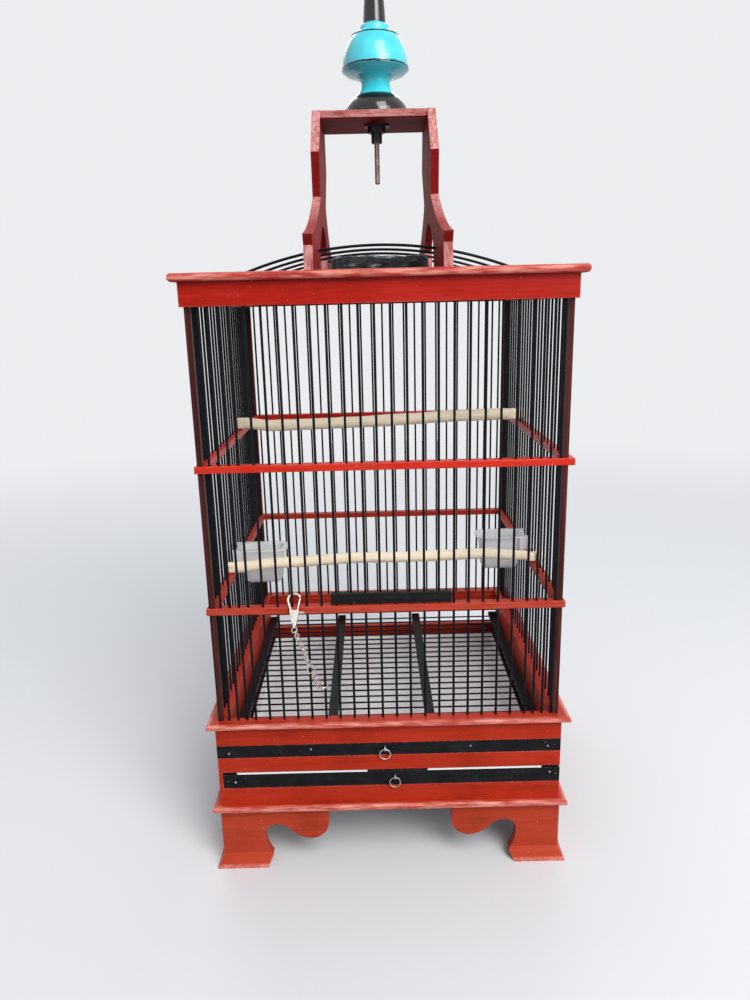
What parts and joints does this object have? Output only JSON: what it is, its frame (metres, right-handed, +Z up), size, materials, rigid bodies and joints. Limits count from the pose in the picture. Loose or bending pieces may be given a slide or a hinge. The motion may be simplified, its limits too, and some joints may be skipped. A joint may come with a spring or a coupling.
{
  "type": "bird cage",
  "caption": "Square barred bird cage on bracket feet, with pull-out drawers, a lifting door, perches, feeding cups, an arched top, a turned finial and a hook.",
  "frame": {"origin": "middle of the footprint, on the surface that the feet stand on", "axes": "+X to the right seen from the front, +Y from the front to the back, +Z up"},
  "size_m": [0.378, 0.3828, 0.9794],
  "materials": {
    "red_paint": "painted red with visible grain",
    "red_edge": "thin red stain over open end grain",
    "black_wood": "painted black",
    "black_bar": "satin black",
    "brown_post": "dark brown stain",
    "teal_gloss": "turquoise gloss paint",
    "black_gloss": "black gloss paint",
    "bare_wood": "peeled and unpainted",
    "cup_plastic": "translucent",
    "white_pan": "white enamel",
    "steel": "dull zinc",
    "nickel": "worn nickel"
  },
  "bodies": {
    "cage": {"foot_front_left": "red_paint", "foot_front_right": "red_paint", "foot_back_left": "red_paint", "foot_back_right": "red_paint", "lower_moulding": "red_paint", "base_bottom_rail": "red_paint", "base_mid_rail": "red_paint", "base_top_rail": "red_paint", "base_left_board": "red_paint", "base_right_board": "red_paint", "base_back_lower": "red_paint", "base_back_upper": "red_paint", "base_moulding": "red_paint", "grate_runners": "red_paint", "tray_runners": "red_paint", "lower_ring": "red_paint", "upper_ring": "red_paint", "top_apron": "red_paint", "top_ledge": "red_paint", "arch_left": "red_edge", "arch_right": "red_edge", "arch_cap": "red_edge", "corner_posts": "brown_post", "front_bars": "black_bar", "back_bars": "black_bar", "left_bars": "black_bar", "right_bars": "black_bar", "roof_bars": "black_bar", "roof_arcs": "black_bar", "roof_block": "black_wood", "washer": "steel", "spacer_nut": "steel", "finial_dome": "black_gloss", "finial_bell": "teal_gloss", "finial_stem": "black_gloss"},
    "door": {"door_strip": "black_wood", "door_bars": "black_bar"},
    "grate": {"grate_front": "black_wood", "grate_strips": "black_wood", "grate_wires": "black_bar", "upper_pull_eye": "steel"},
    "upper_pull": {"upper_pull_ring": "steel"},
    "tray": {"tray_front": "black_wood", "tray_frame": "black_wood", "tray_pan": "white_pan", "tray_lip": "black_wood", "lower_pull_eye": "steel"},
    "lower_pull": {"lower_pull_ring": "steel"},
    "hook": {"hook_rod": "steel", "jam_nuts": "steel"},
    "upper_perch": {"upper_perch": "bare_wood"},
    "lower_perch": {"lower_perch": "bare_wood"},
    "left_cup": {"left_cup": "cup_plastic"},
    "right_cup": {"right_cup": "cup_plastic"},
    "snap": {"snap_hook": "nickel", "snap_swivel": "nickel", "chain_links": "nickel", "chain_ring": "nickel", "end_ring": "nickel"},
    "snap_gate": {"snap_gate": "nickel"}
  },
  "joints": [
    {"name": "door_slide", "type": "slide", "parent": "cage", "child": "door", "axis": [0, 0, 1], "range_m": [0, 0.126]},
    {"name": "grate_slide", "type": "slide", "parent": "cage", "child": "grate", "axis": [0, -1, 0], "range_m": [0, 0.3]},
    {"name": "upper_pull_hinge", "type": "hinge", "parent": "grate", "child": "upper_pull", "pos_m": [-0.004, -0.1844, 0.13885], "axis": [-1, 0, 0], "range_deg": [-10, 120]},
    {"name": "tray_slide", "type": "slide", "parent": "cage", "child": "tray", "axis": [0, -1, 0], "range_m": [0, 0.3]},
    {"name": "lower_pull_hinge", "type": "hinge", "parent": "tray", "child": "lower_pull", "pos_m": [0.006, -0.1844, 0.10495], "axis": [-1, 0, 0], "range_deg": [-10, 120]},
    {"name": "hook_swivel", "type": "hinge", "parent": "cage", "child": "hook", "pos_m": [0.003, 0, 0.75], "axis": [0, 0, 1], "continuous": true},
    {"name": "upper_perch_lift", "type": "slide", "parent": "cage", "child": "upper_perch", "axis": [0, 0, 1], "range_m": [0, 0.13]},
    {"name": "lower_perch_lift", "type": "slide", "parent": "cage", "child": "lower_perch", "axis": [0, 0, 1], "range_m": [0, 0.12]},
    {"name": "left_cup_lift", "type": "slide", "parent": "cage", "child": "left_cup", "axis": [0, 0, 1], "range_m": [0, 0.12]},
    {"name": "right_cup_lift", "type": "slide", "parent": "cage", "child": "right_cup", "axis": [0, 0, 1], "range_m": [0, 0.12]},
    {"name": "snap_slide", "type": "slide", "parent": "cage", "child": "snap", "axis": [0, 0, 1], "range_m": [0, 0.055]},
    {"name": "snap_gate_hinge", "type": "hinge", "parent": "snap", "child": "snap_gate", "pos_m": [-0.08897, -0.18409, 0.2951], "axis": [0, -0.848, 0.5299], "range_deg": [0, 20], "stiffness_Nm_per_rad": 0.02, "springref_deg": -17.19}
  ]
}
